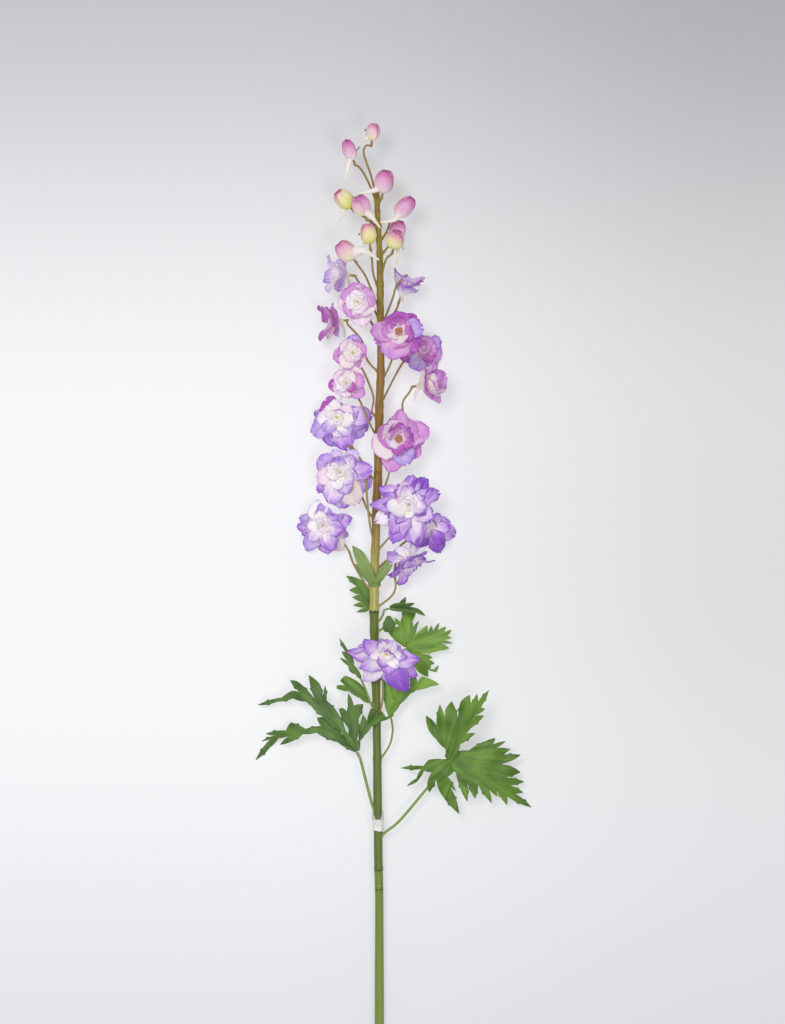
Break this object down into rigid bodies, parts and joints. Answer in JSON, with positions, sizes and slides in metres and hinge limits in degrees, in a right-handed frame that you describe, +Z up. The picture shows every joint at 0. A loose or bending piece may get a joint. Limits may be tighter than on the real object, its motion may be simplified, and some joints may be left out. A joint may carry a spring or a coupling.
{
  "type": "delphinium flower spike",
  "caption": "Cut delphinium spike lying down: double florets in violet, lilac and pink along an upright stem, closed buds at its tip, cut leaves lower down and a long bare stalk.",
  "frame": {"origin": "middle of the box round the spike, on the surface that it lies on", "axes": "+Z up from the surface, +Y along the stem towards the buds, +X to the side of the larger single leaf"},
  "size_m": [0.2348, 0.899, 0.0518],
  "materials": {
    "petal_violet": "soft matt cloth",
    "petal_lilac": "soft matt cloth",
    "petal_magenta": "soft matt cloth",
    "petal_pale": "soft matt cloth",
    "heart_cream": "soft matt cloth",
    "bud_pink": "satin",
    "stem_low": "satin",
    "stem_green": "satin",
    "stem_brown": "satin",
    "band_clear": "cloudy film",
    "leaf_light": "matt cloth with pressed veins",
    "leaf_deep": "matt cloth with pressed veins",
    "bract_green": "matt cloth with pressed veins"
  },
  "bodies": {
    "root": {"upper_stem": "stem_brown", "middle_stem": "stem_green", "lower_stem": "stem_low", "wrap_band": "band_clear", "bracts": "bract_green", "bud_01": "bud_pink", "bud_02": "bud_pink", "bud_03": "bud_pink", "bud_04": "bud_pink", "bud_05": "bud_pink", "bud_06": "bud_pink", "bud_07": "bud_pink", "bud_08": "bud_pink", "bud_09": "bud_pink", "bud_10": "bud_pink", "leaf_01": "leaf_deep", "leaf_02": "leaf_light", "leaf_03": "leaf_light", "leaf_04": "leaf_deep", "leaf_05": "leaf_deep", "leaf_06": "leaf_deep", "leaf_07": "leaf_light", "leaf_08": "leaf_light", "leaf_09": "leaf_deep", "bloom_01": "petal_pale", "bloom_02": "petal_lilac", "bloom_02_heart": "heart_cream", "bloom_03": "petal_magenta", "bloom_04": "petal_lilac", "bloom_05": "petal_magenta", "bloom_05_heart": "heart_cream", "bloom_06": "petal_violet", "bloom_06_heart": "heart_cream", "bloom_07": "petal_magenta", "bloom_08": "petal_lilac", "bloom_08_heart": "heart_cream", "bloom_09": "petal_lilac", "bloom_09_heart": "heart_cream", "bloom_10": "petal_violet", "bloom_10_heart": "heart_cream", "bloom_11": "petal_lilac", "bloom_11_heart": "heart_cream", "bloom_12": "petal_violet", "bloom_12_heart": "heart_cream", "bloom_13": "petal_magenta", "bloom_13_heart": "heart_cream", "bloom_14": "petal_violet", "bloom_14_heart": "heart_cream", "bloom_15": "petal_violet", "bloom_16": "petal_violet", "bloom_17": "petal_violet", "bloom_17_heart": "heart_cream"}
  },
  "joints": []
}
